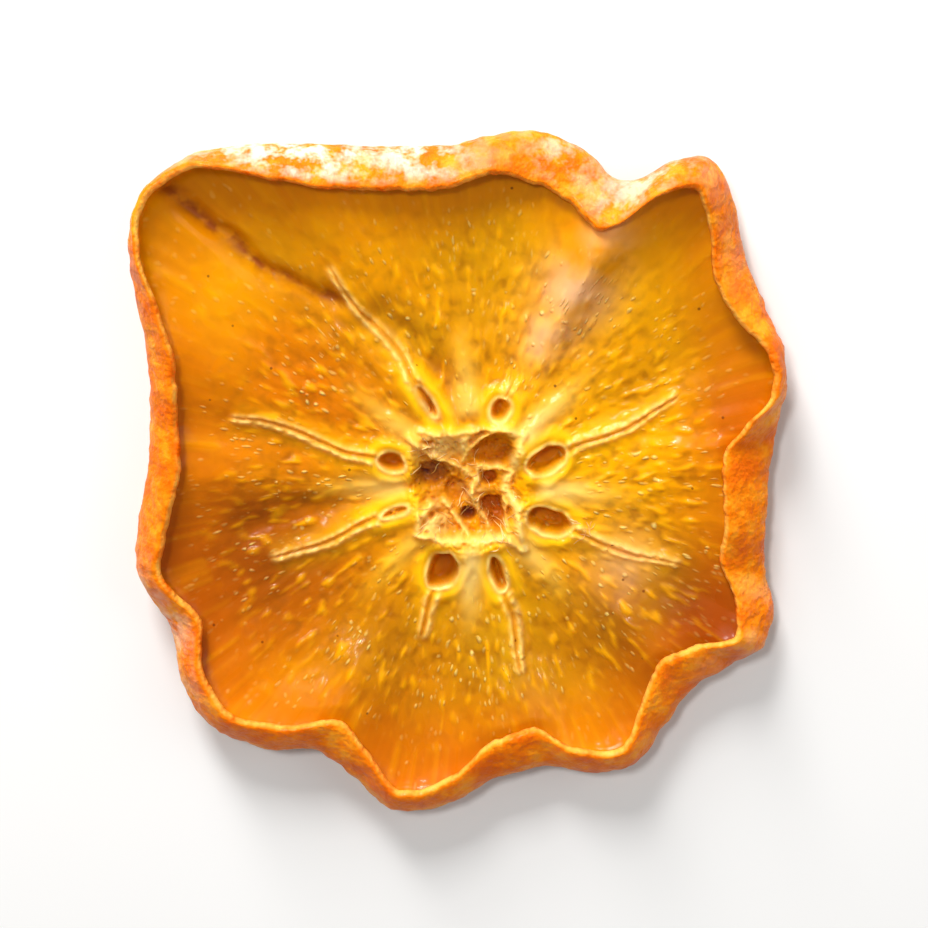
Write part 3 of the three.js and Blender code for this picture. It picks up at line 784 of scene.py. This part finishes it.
# Short dashes along the radius, in three rings so that their width stays alike.
def radialFlecks(tree, place, look):
    apart = addNode(tree, "ShaderNodeSeparateXYZ", links={0: (place, "Object")})
    flat = addNode(tree, "ShaderNodeCombineXYZ", links={0: (apart, 0), 1: (apart, 1)})
    away = addNode(tree, "ShaderNodeVectorMath", {"operation": "LENGTH"}, {0: (flat, 0)})
    heading = addNode(tree, "ShaderNodeVectorMath", {"operation": "NORMALIZE"}, {0: (flat, 0)})
    wander = addNode(tree, "ShaderNodeTexNoise",
                     links={"Vector": (place, "Object"), "Scale": 1000 / look["swayMm"], "Detail": 1.0})
    sway = addNode(tree, "ShaderNodeVectorMath", {"operation": "SCALE"},
                   {0: (wander, 1), "Scale": look["sway"]})
    outward = addNode(tree, "ShaderNodeMath", {"operation": "MULTIPLY"},
                      {0: (away, 1), 1: 1000 / look["fleckLongMm"]})
    lift = addNode(tree, "ShaderNodeCombineXYZ", links={2: (outward, 0)})
    moved = addNode(tree, "ShaderNodeVectorMath", {"operation": "ADD"}, {0: (lift, 0), 1: (sway, 0)})
    (middle, _), *outerBands = look["bandsMm"]
    around = middle / look["fleckWideMm"]
    for wider, near in outerBands:
        beyond = addNode(tree, "ShaderNodeMath", {"operation": "GREATER_THAN"}, {0: (away, 1), 1: near * mm})
        around = (addNode(tree, "ShaderNodeMath", {"operation": "MULTIPLY_ADD"},
                          {0: (beyond, 0), 1: (wider - middle) / look["fleckWideMm"], 2: around}), 0)
        middle = wider
    spin = addNode(tree, "ShaderNodeVectorMath", {"operation": "SCALE"}, {0: (heading, 0), "Scale": around})
    polar = addNode(tree, "ShaderNodeVectorMath", {"operation": "ADD"}, {0: (spin, 0), 1: (moved, 0)})
    cells = addNode(tree, "ShaderNodeTexVoronoi", links={"Vector": (polar, 0), "Scale": 1.0})
    dash = addNode(tree, "ShaderNodeMapRange", {"interpolation_type": "SMOOTHSTEP"},
                   {0: (cells, 0), 1: 0.42, 2: 0.1, 3: 0.0, 4: 1.0})
    drawn = addNode(tree, "ShaderNodeSeparateColor", links={0: (cells, 1)})
    kept = addNode(tree, "ShaderNodeMapRange", links={0: (drawn, 0), 1: 0.45, 2: 0.95, 3: 0.0, 4: 1.0})
    dash = addNode(tree, "ShaderNodeMath", {"operation": "MULTIPLY"}, {0: (dash, 0), 1: (kept, 0)})
    return (dash, 0), (away, 1)


def driedFlesh():
    look = fleshLook
    material, tree = newMaterial("airDriedPersimmonFlesh")
    place = addNode(tree, "ShaderNodeTexCoord")
    dashes, away = radialFlecks(tree, place, look)
    blotch = addNode(tree, "ShaderNodeTexNoise",
                     links={"Vector": (place, "Object"), "Scale": 1000 / look["blotchMm"], "Detail": 3.0})
    mottle = addNode(tree, "ShaderNodeTexNoise",
                     links={"Vector": (place, "Object"), "Scale": 1000 / look["mottleMm"], "Detail": 2.0})
    mask = {}
    for name in maskNames:
        mask[name] = (addNode(tree, "ShaderNodeAttribute", {"attribute_name": name}), "Fac")
    # pale flecks, also painted as glints, fewer near the rim and none where the flesh is sleek
    patchy = addNode(tree, "ShaderNodeMapRange", links={0: (blotch, 0), 1: 0.4, 2: 0.58, 3: 0.1, 4: 1.0})
    calm = addNode(tree, "ShaderNodeMapRange", links={0: away, 1: 0.017, 2: 0.027, 3: 0.9, 4: 0.2})
    dull = addNode(tree, "ShaderNodeMath", {"operation": "SUBTRACT"}, {0: 1.0, 1: mask["sleek"]})
    flecksAndGlints = dashes
    for share in (patchy, calm, dull):
        flecksAndGlints = (addNode(tree, "ShaderNodeMath", {"operation": "MULTIPLY"}, {0: flecksAndGlints, 1: (share, 0)}), 0)
    # painted shade in mottled streaks between them
    band = addNode(tree, "ShaderNodeMapRange", links={0: mask["streaky"], 1: 0.36, 2: 0.6, 3: 0.7, 4: 0.0})
    shadeMottle = addNode(tree, "ShaderNodeMapRange", links={0: (mottle, 0), 1: 0.4, 2: 0.6, 3: 0.95, 4: 0.15})
    for share in (shadeMottle, calm):
        band = addNode(tree, "ShaderNodeMath", {"operation": "MULTIPLY"}, {0: (band, 0), 1: (share, 0)})
    # painted shade under the rolled rim, in the deep orange colour
    rimShade = addNode(tree, "ShaderNodeMath", {"operation": "MULTIPLY"}, {0: mask["shade"], 1: 0.4})
    # painted highlight, in part: raised lumps are coloured lighter and riper
    raised = addNode(tree, "ShaderNodeMath", {"operation": "MULTIPLY"}, {0: mask["blob"], 1: 0.6})
    stitched = addNode(tree, "ShaderNodeMapRange", links={0: (mottle, 0), 1: 0.45, 2: 0.62, 3: 1.0, 4: 0.35})
    pinched = addNode(tree, "ShaderNodeMath", {"operation": "MULTIPLY"},
                      {0: mask["crease"], 1: (stitched, 0)})
    # pale frost, partly a painted reflection on the ridge and painted glints on the lumps
    frostedHighlight = addNode(tree, "ShaderNodeMath", {"operation": "MULTIPLY"}, {0: mask["frost"], 1: (patchy, 0)})
    # a few dark specks where something stuck as it dried
    spots = addNode(tree, "ShaderNodeTexVoronoi",
                    links={"Vector": (place, "Object"), "Scale": 1000 / look["speckMm"]})
    spotted = addNode(tree, "ShaderNodeMapRange", links={0: (spots, 0), 1: 0.055, 2: 0.03, 3: 0.0, 4: 0.8})
    layers = [
        ((blotch, 0), "ripe"), (mask["glow"], "ripe"), (mask["rust"], "rust"), (mask["olive"], "olive"),
        (mask["brown"], "brown"), ((band, 0), "shadow"), ((rimShade, 0), "rust"), (flecksAndGlints, "fleckAndGlint"),
        ((raised, 0), "ripe"), (mask["sleek"], "sleek"), (mask["pale"], "pale"), (mask["deep"], "pit"),
        (mask["dusk"], "dusk"), ((pinched, 0), "crease"), ((frostedHighlight, 0), "frost"), (mask["edge"], "edge"),
        ((spotted, 0), "speck"),
    ]
    colour = linear(look["amber"])
    for share, tint in layers:  # each colour covers those before it by its share
        covers = {0: share, 6: colour, 7: linear(look[tint])}
        colour = (addNode(tree, "ShaderNodeMix", {"data_type": "RGBA"}, covers), 2)
    relief = addNode(tree, "ShaderNodeBump", links={"Height": flecksAndGlints, "Strength": 0.8, "Distance": 0.0003})
    wet = addNode(tree, "ShaderNodeMapRange", links={0: mask["streaky"], 1: 0.3, 2: 0.7, 3: 0.42, 4: 0.2})
    rough = addNode(tree, "ShaderNodeMix", links={0: mask["frost"], 2: (wet, 0), 3: 0.7})
    glint = addNode(tree, "ShaderNodeMapRange", links={0: flecksAndGlints, 1: 0.0, 2: 0.5, 3: 0.16, 4: 0.7})
    surface = addNode(tree, "ShaderNodeBsdfPrincipled", {"subsurface_method": "BURLEY"}, {
        "Base Color": colour, "Roughness": (rough, 0), "Normal": (relief, 0), "IOR": 1.42,
        "Subsurface Weight": 0.5, "Subsurface Radius": (1.0, 0.45, 0.05), "Subsurface Scale": 0.0012,
        "Specular IOR Level": 0.13, "Coat Weight": (glint, 0), "Coat Roughness": 0.1, "Coat IOR": 1.38})
    addNode(tree, "ShaderNodeOutputMaterial", links={"Surface": (surface, 0)})
    return material


# Dried persimmon peel: waxy skin gone leathery, orange with pale bloom where it creased, and a painted white
# highlight, mostly along its top.
peelLook = {
    "orange": "#ff8a00",
    "deep": "#ea6800",
    "bloom": "#ffa828",
    "edge": "#ffbe50",
    # white sugar frost, partly a painted highlight
    "sugarAndHighlight": "#fff0dc",
    "blotchMm": 2.6,
    "crumbMm": 2.2,
    "pleatMm": 1.7,
    "grainMm": 0.55,
}


def driedPeel():
    look = peelLook
    material, tree = newMaterial("leatheryPersimmonPeel")
    place = addNode(tree, "ShaderNodeTexCoord")
    blotch = addNode(tree, "ShaderNodeTexNoise", links={
        "Vector": (place, "Object"), "Scale": 1000 / look["blotchMm"], "Detail": 3.0, "Roughness": 0.65})
    tint = addNode(tree, "ShaderNodeMapRange", links={0: (blotch, 0), 1: 0.35, 2: 0.6})
    bloom = addNode(tree, "ShaderNodeMapRange", links={0: (blotch, 0), 1: 0.52, 2: 0.7, 3: 0.0, 4: 0.7})
    frostMask = addNode(tree, "ShaderNodeAttribute", {"attribute_name": "frost"})
    crumbs = addNode(tree, "ShaderNodeTexNoise", links={
        "Vector": (place, "Object"), "Scale": 1000 / look["crumbMm"], "Detail": 3.0, "Roughness": 0.7})
    sugarHighlight = addNode(tree, "ShaderNodeMapRange", links={0: (crumbs, 0), 1: 0.42, 2: 0.6})
    sugarHighlight = addNode(tree, "ShaderNodeMath", {"operation": "MULTIPLY"},
                     {0: (sugarHighlight, 0), 1: (frostMask, "Fac")})
    edgeMask = addNode(tree, "ShaderNodeAttribute", {"attribute_name": "edge"})
    # lighter along the cut edge
    lighterEdge = addNode(tree, "ShaderNodeMath", {"operation": "MULTIPLY"}, {0: (edgeMask, "Fac"), 1: (tint, 0)})
    colour = linear(look["deep"])
    for share, name in ((tint, "orange"), (bloom, "bloom"), (sugarHighlight, "sugarAndHighlight"), (lighterEdge, "edge")):
        covers = {0: (share, 0), 6: colour, 7: linear(look[name])}
        colour = (addNode(tree, "ShaderNodeMix", {"data_type": "RGBA"}, covers), 2)
    squeezed = addNode(tree, "ShaderNodeMapping", links={"Vector": (place, "Object"), "Scale": (1, 1, 0.35)})
    pleats = addNode(tree, "ShaderNodeTexNoise",
                     links={"Vector": (squeezed, 0), "Scale": 1000 / look["pleatMm"], "Detail": 2.0})
    pores = addNode(tree, "ShaderNodeTexNoise",
                    links={"Vector": (place, "Object"), "Scale": 1000 / look["grainMm"], "Detail": 2.0})
    bumpy = addNode(tree, "ShaderNodeMath", {"operation": "MULTIPLY_ADD"},
                    {0: (pleats, 0), 1: 1.6, 2: (pores, 0)})
    relief = addNode(tree, "ShaderNodeBump",
                     links={"Height": (bumpy, 0), "Strength": 0.8, "Distance": 0.0003})
    surface = addNode(tree, "ShaderNodeBsdfPrincipled", {"subsurface_method": "BURLEY"}, {
        "Base Color": colour, "Roughness": 0.42, "Normal": (relief, 0), "IOR": 1.45,
        "Subsurface Weight": 0.35, "Subsurface Radius": (1.0, 0.4, 0.05), "Subsurface Scale": 0.001,
        "Specular IOR Level": 0.1, "Coat Weight": 0.08, "Coat Roughness": 0.16})
    addNode(tree, "ShaderNodeOutputMaterial", links={"Surface": (surface, 0)})
    return material


# Dried core fibre: cream strands, a little waxy, that let some light through.
fibreLook = {"cream": "#ffdc90", "straw": "#d8963a", "blotchMm": 1.2}


def driedFibre():
    look = fibreLook
    material, tree = newMaterial("driedCoreFibre")
    place = addNode(tree, "ShaderNodeTexCoord")
    blotch = addNode(tree, "ShaderNodeTexNoise",
                     links={"Vector": (place, "Object"), "Scale": 1000 / look["blotchMm"]})
    tint = addNode(tree, "ShaderNodeMapRange", links={0: (blotch, 0), 1: 0.38, 2: 0.6})
    colour = addNode(tree, "ShaderNodeMix", {"data_type": "RGBA"},
                     {0: (tint, 0), 6: linear(look["straw"]), 7: linear(look["cream"])})
    surface = addNode(tree, "ShaderNodeBsdfPrincipled", {"subsurface_method": "BURLEY"}, {
        "Base Color": (colour, 2), "Roughness": 0.4, "IOR": 1.45, "Coat Weight": 0.2, "Coat Roughness": 0.15,
        "Subsurface Weight": 0.3, "Subsurface Radius": (1.0, 0.6, 0.2), "Subsurface Scale": 0.0004})
    addNode(tree, "ShaderNodeOutputMaterial", links={"Surface": (surface, 0)})
    return material


# The side that lay on the drying tray: pressed, matt and paler, with the star showing through in brown.
trayLook = {"tan": "#f2b566", "orange": "#e08a28", "star": "#a85f1c", "blotchMm": 5.0}


def traySide():
    look = trayLook
    material, tree = newMaterial("trayPressedPersimmonFlesh")
    place = addNode(tree, "ShaderNodeTexCoord")
    blotch = addNode(tree, "ShaderNodeTexNoise",
                     links={"Vector": (place, "Object"), "Scale": 1000 / look["blotchMm"], "Detail": 4.0})
    base = addNode(tree, "ShaderNodeMix", {"data_type": "RGBA"},
                   {0: (blotch, 0), 6: linear(look["orange"]), 7: linear(look["tan"])})
    deepMask = addNode(tree, "ShaderNodeAttribute", {"attribute_name": "deep"})
    starred = addNode(tree, "ShaderNodeMix", {"data_type": "RGBA"},
                      {0: (deepMask, "Fac"), 6: (base, 2), 7: linear(look["star"])})
    relief = addNode(tree, "ShaderNodeBump",
                     links={"Height": (blotch, 0), "Strength": 0.3, "Distance": 0.0003})
    surface = addNode(tree, "ShaderNodeBsdfPrincipled", {"subsurface_method": "BURLEY"}, {
        "Base Color": (starred, 2), "Roughness": 0.6, "Normal": (relief, 0), "IOR": 1.45,
        "Subsurface Weight": 0.4, "Subsurface Radius": (1.0, 0.4, 0.1), "Subsurface Scale": 0.0018})
    addNode(tree, "ShaderNodeOutputMaterial", links={"Surface": (surface, 0)})
    return material


# Camera: above the slice, leaning towards its far side as the photograph's view does.
camera = {"lensMm": 100.0, "leanDegrees": 15.0, "distance": 0.238, "target": (-0.0008, 0.0016, 0.003)}


def addCamera():
    data = bpy.data.cameras.new("camera")
    data.lens = camera["lensMm"]
    data.clip_start = 0.01
    eye = bpy.data.objects.new("camera", data)
    lean = math.radians(camera["leanDegrees"])
    outward = Vector((0, math.sin(lean), math.cos(lean)))
    eye.location = Vector(camera["target"]) + camera["distance"] * outward
    eye.rotation_euler = (-lean, 0, 0)
    bpy.context.scene.collection.objects.link(eye)
    bpy.context.scene.camera = eye


# Studio: a pale floor, a wide soft light beyond the far side, a fill and a bright room.
studio = {"floorColour": "#f4f3f1", "floorSize": 3.0, "roomColour": "#ffffff", "roomStrength": 0.25}
lights = [
    {"name": "keyLight", "from": (-0.14, 0.52, 0.36), "size": 0.16, "watts": 3.1},
    {"name": "glintLight", "from": (-0.14, 0.26, 0.60), "size": 0.08, "watts": 1.4},
    {"name": "peelLight", "from": (-0.16, 0.48, 0.17), "size": 0.14, "watts": 1.4},
    {"name": "fillLight", "from": (0.45, 0.20, 0.40), "size": 0.4, "watts": 0.65},
]


def addStudio():
    mesh = bpy.data.meshes.new("floor")
    half = studio["floorSize"] / 2
    corners = [(-half, -half, 0), (half, -half, 0), (half, half, 0), (-half, half, 0)]
    mesh.from_pydata(corners, [], [(0, 1, 2, 3)])
    floor = bpy.data.objects.new("floor", mesh)
    bpy.context.scene.collection.objects.link(floor)
    material, tree = newMaterial("paperBackdrop")
    surface = addNode(tree, "ShaderNodeBsdfPrincipled",
                      links={"Base Color": linear(studio["floorColour"]), "Roughness": 0.8})
    addNode(tree, "ShaderNodeOutputMaterial", links={"Surface": (surface, 0)})
    mesh.materials.append(material)
    world = bpy.data.worlds.new("room")
    world.use_nodes = True
    sky = world.node_tree.nodes["Background"]
    sky.inputs[0].default_value = linear(studio["roomColour"])
    sky.inputs[1].default_value = studio["roomStrength"]
    bpy.context.scene.world = world
    for row in lights:
        data = bpy.data.lights.new(row["name"], "AREA")
        data.energy, data.size = row["watts"], row["size"]
        lamp = bpy.data.objects.new(row["name"], data)
        lamp.location = row["from"]
        lamp.rotation_euler = Vector(row["from"]).to_track_quat("Z", "Y").to_euler()
        bpy.context.scene.collection.objects.link(lamp)
    bpy.context.scene.view_settings.view_transform = "Standard"


addCamera()
addStudio()
print("camera, floor and lights set")
piece = buildSlice()
for material in (driedFlesh(), driedPeel(), traySide()):  # in the order that ringsOfSlice numbers them
    piece.data.materials.append(material)
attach(piece, "root")
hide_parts("persimmon_slice")
fibres = buildFibres()
fibres.data.materials.append(driedFibre())
print("materials made:", sorted(material.name for material in bpy.data.materials))
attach(fibres, "root")
